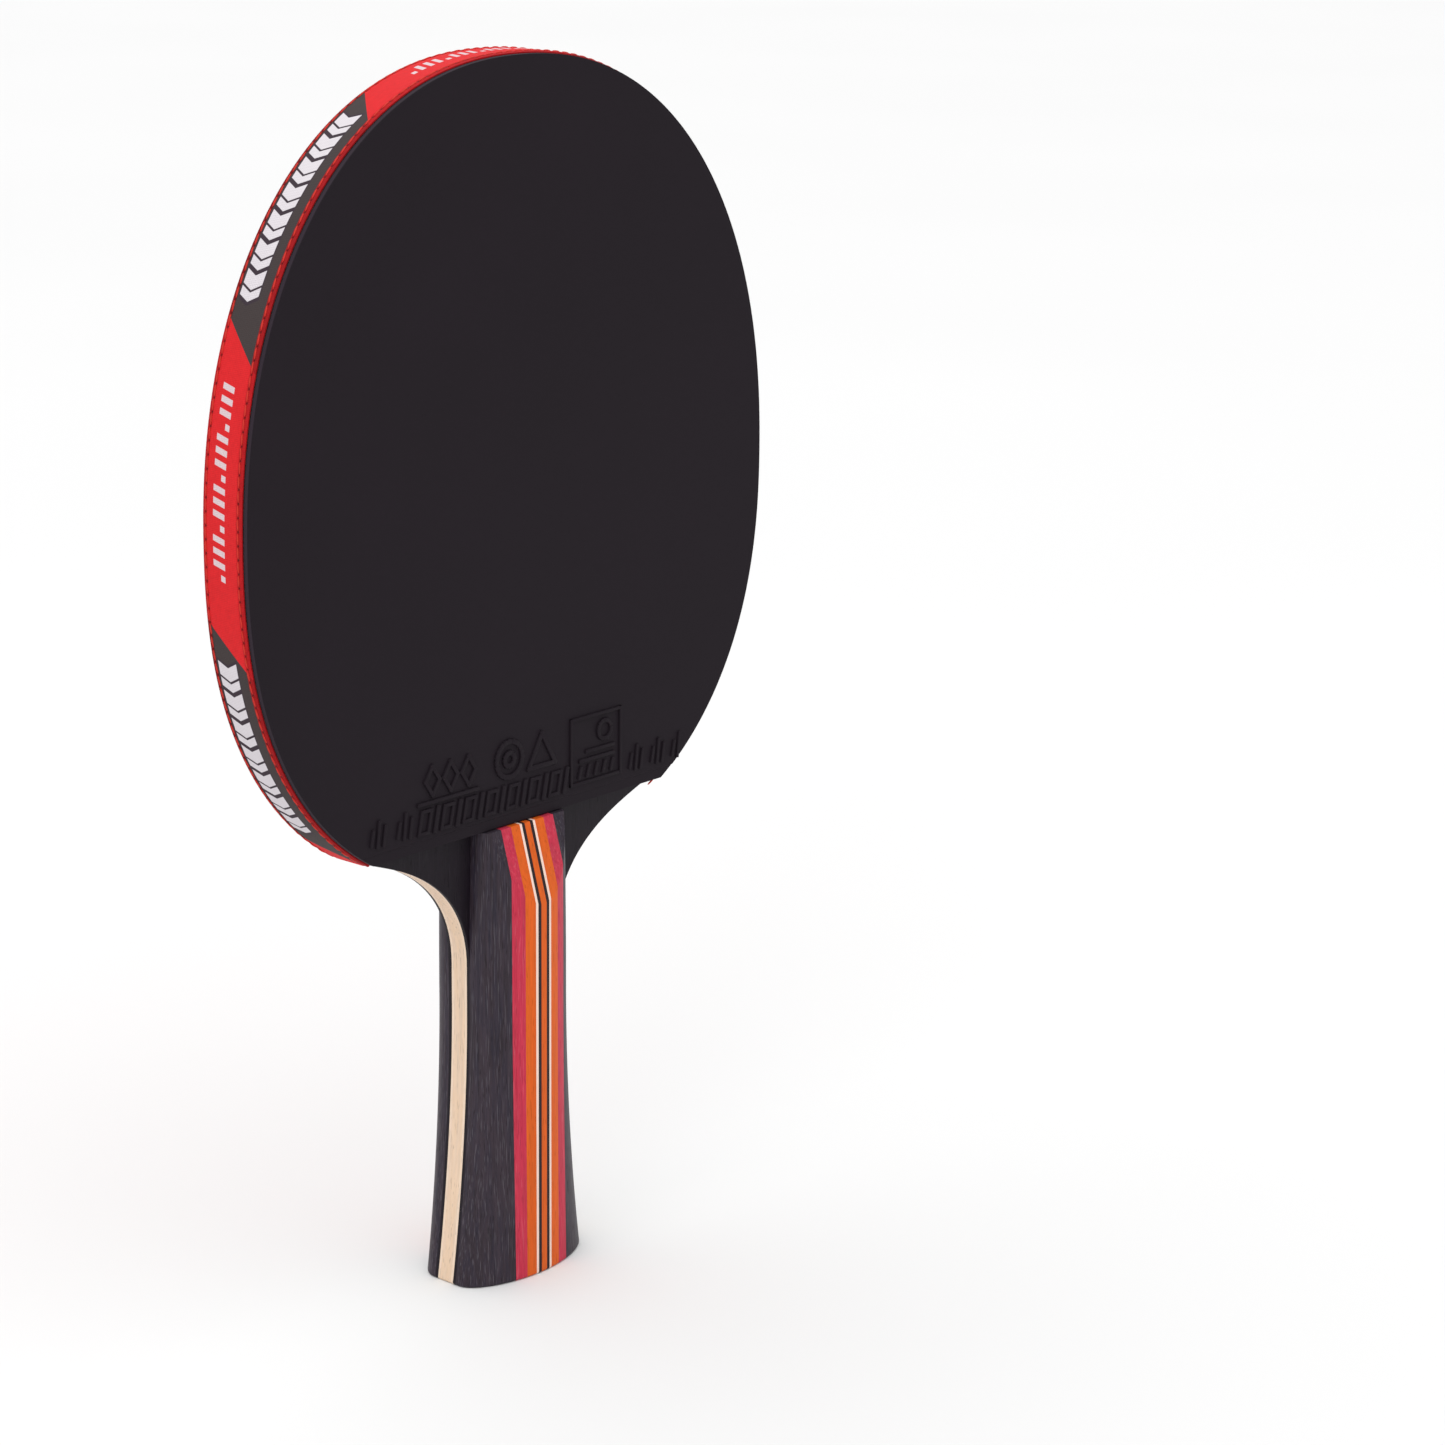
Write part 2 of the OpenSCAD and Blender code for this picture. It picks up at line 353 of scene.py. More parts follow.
def cut(bm, place, direction):
    """Cuts away what lies beyond a plane and closes the cut."""
    result = bmesh.ops.bisect_plane(
        bm, geom=bm.verts[:] + bm.edges[:] + bm.faces[:], dist=TINY / 10, plane_co=place,
        plane_no=direction, clear_outer=True,
    )
    edges = [part for part in result["geom_cut"] if isinstance(part, bmesh.types.BMEdge)]
    bmesh.ops.edgeloop_fill(bm, edges=edges)
    bmesh.ops.recalc_face_normals(bm, faces=bm.faces[:])


def stamp(bm, part, places):
    """Adds a copy of a small bmesh at each place and frees it."""
    template = to_mesh(part, "template")
    for place in places:
        copy = template.copy()
        copy.transform(place)
        bm.from_mesh(copy)
        bpy.data.meshes.remove(copy)
    bpy.data.meshes.remove(template)


def half_turn(bm):
    """Turns a shape from one face of the paddle to the other."""
    bmesh.ops.rotate(bm, verts=bm.verts[:], cent=(0, 0, 0), matrix=Matrix.Rotation(math.pi, 3, "Z"))


def finish_piece(bm, node, material):
    """Makes a mesh the visible piece that stands for a CAD node."""
    for face in bm.faces:
        face.smooth = True
    for edge in bm.edges:
        edge.smooth = edge.calc_face_angle(math.pi) < SMOOTH_LIMIT
    mesh = to_mesh(bm, "finished_" + node)
    piece = bpy.data.objects.new("finished_" + node, mesh)
    bpy.context.scene.collection.objects.link(piece)
    mesh.materials.append(material)
    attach(piece, "root")
    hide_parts(node)
    return piece


# ---- Shader helpers ----

class Value:
    """A shader value. Python's arithmetic on it adds Math nodes."""

    def __init__(self, nodes, socket):
        self.nodes = nodes
        self.socket = socket

    def math(self, operation, *others):
        inputs = dict(enumerate((self, *others)))
        return self.nodes.add("ShaderNodeMath", {"operation": operation}, inputs)

    def __add__(self, other):
        return self.math("ADD", other)

    __radd__ = __add__

    def __mul__(self, other):
        return self.math("MULTIPLY", other)

    __rmul__ = __mul__

    def __sub__(self, other):
        return self.math("SUBTRACT", other)

    def __rsub__(self, other):
        return self * -1 + other

    def __truediv__(self, other):
        return self.math("DIVIDE", other)

    def __abs__(self):
        return self.math("ABSOLUTE")

    def wrap(self, period):
        return self.math("WRAP", period, 0)

    def larger(self, other):
        return self.math("MAXIMUM", other)

    def rise(self, start, end):
        """0 below start and 1 above end, with a soft step between them."""
        return self.nodes.add(
            "ShaderNodeMapRange", {"interpolation_type": "SMOOTHSTEP"},
            {"Value": self, "From Min": start, "From Max": end},
        )

    def within(self, start, end, soft):
        """1 between start and end, with soft edges."""
        opening = self.rise(start - soft / 2, start + soft / 2)
        closing = self.rise(end - soft / 2, end + soft / 2)
        return opening * (1 - closing)


class Nodes:
    """A node tree in the making."""

    def __init__(self, tree):
        self.tree = tree

    def add(self, kind, settings=None, inputs=None, output=0):
        """Adds a node of a type, with its settings first and then the values or links of its sockets."""
        node = self.tree.nodes.new(kind)
        for setting, value in (settings or {}).items():
            setattr(node, setting, value)
        for socket, value in (inputs or {}).items():
            self.feed(node.inputs[socket], value)
        return Value(self, node.outputs[output])

    def feed(self, socket, value):
        if isinstance(value, Value):
            self.tree.links.new(value.socket, socket)
        else:
            socket.default_value = value


class Paint(Nodes):
    """A material in the making: its Principled shader and the nodes that feed it."""

    def __init__(self, name, plain):
        self.material = bpy.data.materials.new("finished_" + name)
        self.material.use_nodes = True
        super().__init__(self.material.node_tree)
        self.shader = self.tree.nodes["Principled BSDF"]
        for socket, value in plain.items():
            self.shader.inputs[socket].default_value = value

    def mix(self, share, first, second):
        """Blends from the first colour to the second, through a Mix node's numbered colour sockets."""
        ends = [tuple(end) + (1,) if not isinstance(end, Value) else end for end in (first, second)]
        return self.add("ShaderNodeMix", {"data_type": "RGBA"}, {0: share, 6: ends[0], 7: ends[1]}, 2)

    def place(self, scale=(1, 1, 1), offset=(0, 0, 0)):
        """The point on the piece, scaled and then moved."""
        point = self.add("ShaderNodeTexCoord", output="Object")
        return self.add("ShaderNodeMapping", {}, {"Vector": point, "Location": offset, "Scale": scale})

    def noise(self, place, size, detail=2.0, rough=0.5):
        """Soft noise from 0 to 1 whose patches are about as wide as size."""
        inputs = {"Vector": place, "Scale": 1 / size, "Detail": detail, "Roughness": rough}
        return self.add("ShaderNodeTexNoise", {}, inputs)

    def cells(self, place, size):
        """Distance from the middle of scattered cells about as wide as size."""
        return self.add("ShaderNodeTexVoronoi", {}, {"Vector": place, "Scale": 1 / size})

    def bump(self, height, depth, strength=1.0):
        """Lets a height from 0 to 1 stand out by depth."""
        inputs = {"Height": height, "Distance": depth, "Strength": strength}
        self.shader_input("Normal", self.add("ShaderNodeBump", {}, inputs))

    def shader_input(self, socket, value):
        self.feed(self.shader.inputs[socket], value)


def scaled(tint, *shares):
    """A tint with its three parts scaled by one share, or each by its own."""
    shares = shares if len(shares) == 3 else shares * 3
    return [min(1.0, part * share) for part, share in zip(tint, shares)]


# ---- Materials ----

def wood_paint(name, tint, look, seed):
    """Straight-grained veneer along Z, with warm and cool streaks, dark pores and pale flecks."""
    paint = Paint(name, {"Specular IOR Level": 0.15, "Coat Weight": look.coat, "Coat Roughness": 0.25})
    offset = (seed, 2 * seed, 3 * seed)
    fibre = paint.noise(paint.place((1, 1, 0.04), offset), 0.5 * MM, detail=4, rough=0.7)
    streak = paint.noise(paint.place((1, 1, 0.08), offset), 0.95 * MM)
    band = paint.noise(paint.place((1, 1, 0.04), offset), 3 * MM)
    pores = paint.noise(paint.place((1, 1, 0.09), offset), 0.3 * MM, detail=1).rise(0.62, 0.7)
    flecks = paint.noise(paint.place((1, 1, 0.05), offset), 0.25 * MM, detail=1).rise(0.56, 0.72)
    tone = (fibre - 0.5) * 2 + (band - 0.5) * 0.8 + 0.5
    warm = paint.mix(tone, scaled(tint, 1 - look.contrast), scaled(tint, 1 + look.contrast))
    cool = paint.mix(tone, scaled(tint, *look.cool), scaled(tint, 1 + look.contrast))
    grain = paint.mix(streak.rise(0.42, 0.58), warm, cool)
    pored = paint.mix(pores * look.pores, grain, scaled(tint, 0.4))
    paint.shader_input("Base Color", paint.mix(flecks * look.flecks, pored, look.fleck_tint))
    paint.shader_input("Roughness", 0.42 + 0.14 * fibre + 0.15 * pores)
    paint.bump(fibre * 0.6 - pores * 0.6, 0.03 * MM, 0.7)
    return paint.material


def rubber_paint(name, tint, roughness, face_y):
    """Matt rubber with a fine moulded grain. Its cut edge, below the face, is paler: painted light."""
    paint = Paint(name, {"Specular IOR Level": 0.1})
    place = paint.place()
    grain = paint.noise(place, 0.22 * MM, detail=3, rough=0.6)
    cloud = paint.noise(place, 28 * MM, detail=3)
    tone = 0.5 + (grain - 0.5) * 0.7 + (cloud - 0.5) * 0.8
    moulded = paint.mix(tone, scaled(tint, 0.82), scaled(tint, 1.18))
    depth = face_y - abs(paint.add("ShaderNodeSeparateXYZ", {}, {"Vector": place}, "Y"))
    # Painted light: the cut edge below the face is painted 2.1 times paler than the face
    edge = depth.rise(0.2 * MM, 0.3 * MM)
    paint.shader_input("Base Color", paint.mix(edge, moulded, scaled(tint, 2.1)))
    paint.shader_input("Roughness", roughness + 0.1 * (cloud - 0.5) + 0.08 * grain)
    paint.bump(grain, 0.015 * MM, 0.5)
    return paint.material


def sponge_paint(name, tint):
    """Fine open-cell sponge, with painted shade in the hollow of each cell."""
    paint = Paint(name, {"Specular IOR Level": 0.2})
    place = paint.place()
    cell = paint.cells(place, 0.32 * MM)
    wall = cell.rise(0.15, 0.55)
    # Painted shade: each cell is painted darker towards its sunk middle
    paint.shader_input("Base Color", paint.mix(wall, scaled(tint, 0.5), scaled(tint, 1.05)))
    paint.shader_input("Roughness", 0.95 - 0.1 * wall)
    paint.bump(wall, 0.12 * MM)
    return paint.material


class TapePaint(Paint):
    """Woven ribbon with slanted panels, rows of plain marks and needle holes along both seams.

    The UV map gives the distance along the rim and the distance across from the front border."""

    soft = 0.12 * MM

    def __init__(self, tape, section):
        super().__init__("edge_tape", {"Specular IOR Level": 0.12})
        self.tape = tape
        self.section = section
        uv = self.add("ShaderNodeUVMap", {"uv_map": "cloth"})
        self.along = self.add("ShaderNodeSeparateXYZ", {}, {"Vector": uv}, "X")
        self.across = self.add("ShaderNodeSeparateXYZ", {}, {"Vector": uv}, "Y")
        self.printed_from = (self.along - tape.first_join).wrap(tape.repeat_l)

    def panels(self):
        """1 on the dark panels, whose joins run one millimetre along for each millimetre across."""
        slanted = self.along + self.across + self.section.low_y - self.tape.first_join
        return slanted.wrap(self.tape.repeat_l).within(0, self.tape.panel_l, self.soft)

    def chevrons(self):
        """Seven pairs of bold chevrons, and the soft shade around them."""
        low, high, pairs, step, halo = 4 * MM, 9.1 * MM, 7, 6.2 * MM, 0.4 * MM
        lean = abs(self.across - (low + high) / 2) * 0.5
        place = self.printed_from + lean - 3.4 * MM
        bar = place.wrap(step)
        pair = bar.within(0.2 * MM, 3.1 * MM, self.soft) + bar.within(3.6 * MM, 5.4 * MM, self.soft)
        run = place.within(0, pairs * step, self.soft) * self.across.within(low, high, self.soft)
        shade = place.within(-halo, pairs * step, halo)
        shade = shade * self.across.within(low - 0.3 * MM, high + 0.3 * MM, halo)
        return run * pair, shade

    def ticks(self):
        """A row of small slanted ticks, every fourth one cut short."""
        step, start, run_l = 2.4 * MM, 63 * MM, 38 * MM
        place = self.printed_from + self.across * 0.25 - start
        run = place.within(0, run_l, self.soft) * self.across.within(4.6 * MM, 7.8 * MM, self.soft)
        tick = place.wrap(step).within(0.4 * MM, 1.6 * MM, self.soft)
        fourth = place.wrap(4 * step).within(3 * step, 4 * step, self.soft)
        cut_off = fourth * self.across.within(5.8 * MM, 9 * MM, self.soft)
        return run * tick * (1 - cut_off)

    def borders(self, panel, mottle):
        """The borders' red, duller beside the dark panels; at the back it is darker still, in painted
        shade.
        """
        tint, middle = self.tape.selvedge, self.section.width / 2
        # Painted shade: beside the panels the back border is darkened twice as much as the front one
        dulling_and_back_shade = 0.4 + 0.4 * self.across.rise(middle - self.soft, middle + self.soft)
        plain = self.mix(mottle, scaled(tint, 0.75), scaled(tint, 1.25))
        return self.mix(panel * dulling_and_back_shade, plain, scaled(tint, 0.35))

    def weave(self):
        """Height of the cloth's crossing threads, from 0 to 1."""
        weft_pitch, warp_pitch = 0.36 * MM, 0.45 * MM
        weft = abs(self.along.wrap(weft_pitch) / weft_pitch - 0.5) * 2
        warp = abs(self.across.wrap(warp_pitch) / warp_pitch - 0.5) * 2
        return weft * 0.6 + warp * 0.4

    def needle_holes(self):
        """The holes in both seams where the stitches meet, which are painted dark as painted shade."""
        spread, pitch = 0.4 * MM, self.section.pitch
        front, back = (
            1 - abs(self.across - seam).rise(0, spread)
            for seam in (self.section.seam, self.section.width - self.section.seam)
        )
        between = abs((self.along / pitch).wrap(1) - 0.5).rise(0.5 - spread / pitch, 0.5)
        return between * (front + back)

    def finish(self):
        tape = self.tape
        panel = self.panels()
        chevrons, shade = self.chevrons()
        weave = self.weave()
        holes = self.needle_holes()
        mottle = self.noise(self.place(), 1.1 * MM, detail=3)
        red = self.mix(mottle, scaled(tape.red, 0.86), scaled(tape.red, 1.1))
        dark = self.mix(shade * 0.45, tape.dark, scaled(tape.dark, 0.6, 0.4, 0.95))
        body = self.across.within(tape.front_selvedge, self.section.width - tape.back_selvedge, 0.3 * MM)
        ground = self.mix(body, self.borders(panel, mottle), self.mix(panel, red, dark))
        marks = (chevrons * panel).larger(self.ticks() * (1 - panel) * 0.85)
        printed = self.mix(marks, ground, tape.light)
        shaded = self.mix((1 - weave) * 0.2, printed, scaled(tape.dark, 0.25))
        # Painted shade: the needle holes are painted a near-black red
        self.shader_input("Base Color", self.mix(holes * 0.9, shaded, scaled(tape.selvedge, 0.12)))
        self.shader_input("Roughness", 0.62 + 0.15 * (1 - weave))
        self.bump(weave * 0.7 + mottle * 0.3 - holes, 0.05 * MM, 0.7)
        return self.material


def thread_paint(name, tint):
    """Twisted sewing thread."""
    paint = Paint(name, {"Specular IOR Level": 0.2})
    strand = paint.noise(paint.place(), 0.12 * MM)
    paint.shader_input("Base Color", paint.mix(strand, scaled(tint, 0.7), scaled(tint, 1.2)))
    paint.shader_input("Roughness", 0.6 + 0.15 * strand)
    paint.bump(strand, 0.03 * MM)
    return paint.material


def floor_paint(name, share):
    """Plain pale floor."""
    paint = Paint(name, {"Roughness": 0.9, "Specular IOR Level": 0.1})
    cloud = paint.noise(paint.place(), 0.4, detail=1)
    paint.shader_input("Base Color", paint.mix(cloud, [share - 0.01] * 3, [share + 0.01] * 3))
    return paint.material


PALE_FLECK = (0.9, 0.75, 0.6)
PINK_FLECK = (0.8, 0.3, 0.36)
GREY_FLECK = (0.13, 0.12, 0.14)

WOOD_LOOKS = {
    "pale_wood": WoodLook(0.1, (0.98, 0.94, 0.86), 0.4, 0.0, PALE_FLECK, 0.05),
    "inner_wood": WoodLook(0.08, (0.98, 0.96, 0.9), 0.3, 0.0, PALE_FLECK, 0.05),
    "dyed_wood": WoodLook(0.3, (0.75, 0.7, 0.8), 0.5, 0.05, GREY_FLECK, 0.03),
    "grey_wood": WoodLook(0.42, (0.5, 0.62, 0.8), 0.6, 0.35, GREY_FLECK, 0.08),
    "crimson_wood": WoodLook(0.2, (0.86, 0.62, 0.78), 0.35, 0.14, PINK_FLECK, 0.04),
    "orange_wood": WoodLook(0.14, (0.92, 0.82, 0.7), 0.3, 0.0, PALE_FLECK, 0.04),
    "white_wood": WoodLook(0.05, (0.96, 0.93, 0.9), 0.2, 0.0, PALE_FLECK, 0.04),
    "black_wood": WoodLook(0.2, (0.7, 0.7, 0.7), 0.3, 0.0, GREY_FLECK, 0.04),
}


def wood(slot):
    """The material of a kind of wood, made on first use."""
    known = bpy.data.materials.get("finished_" + slot)
    if known:
        return known
    tint = getattr(bpy.context.scene.paddle_woods, slot)
    return wood_paint(slot, tint, WOOD_LOOKS[slot], list(WOOD_LOOKS).index(slot))


# ---- Blade ----

class PADDLE_OT_blade(bpy.types.Operator):
    """Build the five plies of the blade"""

    bl_idname = "paddle.blade"
    bl_label = "Blade plies"

    def execute(self, context):
        paddle = Paddle()
        outline = paddle.blade_outline()
        nodes = {"core_ply": "pale_wood"}
        for face in FACES:
            nodes[face + "_inner_ply"] = "inner_wood"
            nodes[face + "_face_ply"] = "dyed_wood"
        for node, slot in nodes.items():
            low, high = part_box(node)
            bm = sheet_solid(outline, low.y, high.y)
            round_butt_corners(bm, paddle.handle.end_round)
            if node.endswith("face_ply"):
                round_neck(bm, paddle, max(low.y, high.y, key=abs))
            hold_flat(bm)
            finish_piece(bm, node, wood(slot))
        return {"FINISHED"}


def round_butt_corners(bm, radius):
    """Rounds the two corners of a ply at the handle's end."""
    corners = [
        edge for edge in bm.edges
        if all(vert.co.z < TINY for vert in edge.verts)
        and abs(edge.verts[0].co.x - edge.verts[1].co.x) < TINY
    ]
    round_edges(bm, corners, radius, 4)


def round_neck(bm, paddle, outer_y):
    """Rounds a face ply's outer edge along the neck."""
    edges = [
        edge for edge in bm.edges
        if all(
            abs(vert.co.y - outer_y) < TINY and paddle.neck_z < vert.co.z < paddle.edge_z + TINY
            for vert in edge.verts
        )
    ]
    round_edges(bm, edges, paddle.head.neck_round, 3)


# ---- Rubbers ----

class PADDLE_OT_sponges(bpy.types.Operator):
    """Build the two sponges"""

    bl_idname = "paddle.sponges"
    bl_label = "Sponges"

    def execute(self, context):
        outline = Paddle().rubber_outline()
        material = sponge_paint("sponge", context.scene.paddle_rubbers.sponge_colour)
        for face in FACES:
            low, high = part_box(face + "_sponge")
            finish_piece(sheet_solid(outline, low.y, high.y), face + "_sponge", material)
        return {"FINISHED"}


class PADDLE_OT_topsheets(bpy.types.Operator):
    """Build the two topsheets, each a skin with pimples under it and moulded marks on it"""

    bl_idname = "paddle.topsheets"
    bl_label = "Topsheets"

    def execute(self, context):
        paddle = Paddle()
        rubbers = context.scene.paddle_rubbers
        outer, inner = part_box("front_topsheet")[0].y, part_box("front_topsheet")[1].y
        pimples = pimple_places(paddle, rubbers)
        finishes = {
            "front": ("black_rubber", rubbers.front_colour, 0.6),
            "back": ("red_rubber", rubbers.back_colour, 0.5),
        }
        for face, (slot, tint, roughness) in finishes.items():
            bm = topsheet_skin(paddle, rubbers, outer)
            add_margin(bm, paddle, rubbers, outer + rubbers.skin_t, inner)
            add_pimples(bm, rubbers, pimples, outer + rubbers.skin_t, inner)
            add_relief(bm, paddle, rubbers, outer)
            if face == "back":
                half_turn(bm)
            finish_piece(bm, face + "_topsheet", rubber_paint(slot, tint, roughness, -outer))
        return {"FINISHED"}


def topsheet_skin(paddle, rubbers, outer):
    """The skin, with its rounded cut edge and its lower plain margin."""
    bm = sheet_solid(paddle.rubber_outline(), outer, outer + rubbers.skin_t)
    rim_edges = [edge for edge in bm.edges if all(vert.co.y < outer + TINY for vert in edge.verts)]
    round_edges(bm, rim_edges, rubbers.skin_round)
    hold_flat(bm)
    step_z = paddle.edge_z + rubbers.margin_h
    foot_z = step_z - rubbers.margin_drop
    for level in (step_z, foot_z):
        geometry = bm.verts[:] + bm.edges[:] + bm.faces[:]
        bmesh.ops.bisect_plane(
            bm, geom=geometry, dist=TINY / 10, plane_co=(0, 0, level), plane_no=(0, 0, 1),
        )
    surface = [
        vert for vert in bm.verts
        if vert.co.z < foot_z + TINY and vert.co.y < outer + rubbers.skin_t / 2
    ]
    bmesh.ops.translate(bm, verts=surface, vec=(0, rubbers.margin_drop, 0))
    return bm


def add_margin(bm, paddle, rubbers, low_y, high_y):
    """Adds the solid strip under the plain margin, where the sheet has no pimples."""
    strip = sheet_solid(paddle.rubber_outline(), low_y - OVERLAP, high_y)
    cut(strip, (0, 0, paddle.edge_z + rubbers.margin_h), (0, 0, 1))
    merge(bm, strip)


def pimple_places(paddle, rubbers):
    """Centres of the outer pimples, in a hexagonal pattern.

    Those that the rim would cut are pushed inside it."""
    stations = paddle.rim(0.6 * MM)
    tree = KDTree(len(stations))
    for i, station in enumerate(stations):
        tree.insert((station.x, 0, station.z), i)
    tree.balance()
    pitch, radius = rubbers.pimple_pitch, rubbers.pimple_w / 2
    row_h = pitch * math.sqrt(3) / 2
    lowest = paddle.edge_z + rubbers.margin_h + radius
    rows = int((paddle.widest_z + paddle.crown_h - lowest) / row_h)
    columns = int(paddle.half_w / pitch) + 1
    places = []
    for row in range(rows + 1):
        for column in range(-columns, columns + 1):
            point = Vector(((column + row % 2 / 2) * pitch, 0, lowest + row * row_h))
            near = stations[tree.find(point)[1]]
            out = Vector((near.out_x, 0, near.out_z))
            depth = (Vector((near.x, 0, near.z)) - point).dot(out)
            if 0.4 * radius < depth < rubbers.pimple_band:
                places.append(point - out * max(0.0, radius - depth))
    return places


def add_pimples(bm, rubbers, places, low_y, high_y):
    """Adds tapered pimples between the skin and the sponge."""
    height = high_y - low_y + OVERLAP
    foot_r = rubbers.pimple_w / 2
    pimple = bmesh.new()
    bmesh.ops.create_cone(
        pimple, cap_ends=True, segments=8, radius1=0.85 * foot_r, radius2=foot_r, depth=height,
        matrix=Matrix.Rotation(math.radians(-90), 4, "X"),
    )
    middle = Vector((0, high_y - height / 2, 0))
    stamp(bm, pimple, [Matrix.Translation(place + middle) for place in places])


class Relief:
    """The plain moulded marks in the making.

    Points are in millimetres across and above the rubber's lower edge."""

    def __init__(self, paddle, rubbers, outer):
        self.bm = bmesh.new()
        self.paddle = paddle
        self.width = rubbers.relief_w
        self.height = rubbers.relief_h
        self.outer = outer

    def stroke(self, start, end, share=1.0):
        """A straight stroke, left out where it would cross the rim."""
        a, b = (Vector((x * MM, 0, self.paddle.edge_z + z * MM)) for x, z in (start, end))
        if any(abs(point.x) + self.width > self.paddle.lower_half_width(point.z) for point in (a, b)):
            return
        # Strokes that cross end at slightly different levels, so that no two faces lie in one plane
        strokes_so_far = len(self.bm.verts) // 8
        level = self.height - 0.01 * MM * (strokes_so_far % 7)
        run = b - a
        size = (run.length + share * self.width, 2 * level, share * self.width, 1)
        place = Matrix.Translation((a + b) / 2 + Vector((0, self.outer, 0)))
        turn = Matrix.Rotation(math.atan2(-run.z, run.x), 4, "Y")
        bmesh.ops.create_cube(self.bm, size=1, matrix=place @ turn @ Matrix.Diagonal(size))

    def closed(self, points, share=1.0):
        for a, b in zip(points, points[1:] + points[:1]):
            self.stroke(a, b, share)

    def ring(self, x, z, radius, sides, share=1.0):
        turns = [math.tau * i / sides for i in range(sides)]
        self.closed([(x + radius * math.sin(t), z + radius * math.cos(t)) for t in turns], share)

    def flicks(self):
        """Three flicks side by side, three times at each end of the row."""
        for x in (-50, -42.6, -35.2, 34.4, 41.4, 48.2):
            for shift, low, high in ((-1.7, 4.6, 7.4), (0, 4, 9), (1.7, 4, 7.8)):
                self.stroke((x + shift, low), (x + shift + 0.6, high), 0.9)

    def blocks(self):
        """A row of slanted blocks between slanted bars, and a line above it."""
        first, pitch, low, high = -31, 6.4, 3.8, 8.4
        for i in range(7):
            x = first + pitch * i
            self.closed([(x, low), (x + 2.6, low), (x + 3.6, high), (x + 1, high)], 0.9)
            self.stroke((x + 4.6, low), (x + 5.6, high), 1.3)
        self.stroke((first, 10), (-14, 10), 0.9)

    def shapes(self):
        """Three diamonds, a disc and a triangle above the blocks."""
        low, middle, high, half_w = 11.4, 14.4, 17.4, 2
        for x in (-27, -21.8, -16.6):
            self.closed([(x, low), (x + half_w, middle), (x, high), (x - half_w, middle)])
        for radius, sides in ((3.8, 20), (1.4, 12)):
            self.ring(-4.6, 14.2, radius, sides, 1.2)
        self.ring(5.2, 13.2, 4.6, 3, 1.2)

    def framed_ball(self):
        """A frame that holds a ball over two lines and a row of ticks."""
        left, right, low, high = 14.2, 29.6, 4.4, 18.6
        self.closed([(left, low), (right, low), (right, high), (left, high)], 0.8)
        self.ring(24.6, 14.8, 2, 16)
        for z, start in ((11, 19), (9.2, 17)):
            self.stroke((start, z), (27.4, z), 0.9)
        for i in range(5):
            x = 16.6 + 2.5 * i
            self.stroke((x, 5.7), (x + 0.6, 7.7), 0.9)


def add_relief(bm, paddle, rubbers, outer):
    """Adds the row of plain moulded marks above the lower margin."""
    relief = Relief(paddle, rubbers, outer)
    relief.flicks()
    relief.blocks()
    relief.shapes()
    relief.framed_ball()
    top = [
        edge for edge in relief.bm.edges
        if all(vert.co.y < outer - rubbers.relief_h / 2 for vert in edge.verts)
    ]
    round_edges(relief.bm, top, rubbers.relief_round)
    merge(bm, relief.bm)


# ---- Edge tape ----

class TapeSection:
    """How far the tape's outer surface stands off the rim, across its width."""

    def __init__(self, tape):
        low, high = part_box("edge_tape")
        rubber_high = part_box("back_sponge")[1]
        self.low_y = low.y
        self.width = high.y - low.y
        self.thickness = high.z - rubber_high.z
        self.rounding = tape.border_round
        self.seam = seam_centre("front") - low.y
        around = Paddle().rim(1 * MM)[-1].along
        self.pitch = around / round(around / tape.stitch_pitch)

    def lift(self, across, along):
        """Height over the rim. The stitches pull the tape in along both seams, most at their ends."""
        border = min(across, self.width - across)
        missing = max(0.0, 1 - border / self.rounding)
        unsewn = self.thickness * (0.55 + 0.45 * math.sqrt(1 - missing ** 2))
        reach = 0.45 * MM
        near_seam = math.exp(-((border - self.seam) / reach) ** 2)
        pull = (0.1 + 0.07 * math.cos(math.tau * along / self.pitch)) * MM
        return unsewn - pull * near_seam


def seam_centre(face):
    low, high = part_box(face + "_tape_stitching")
    return (low.y + high.y) / 2


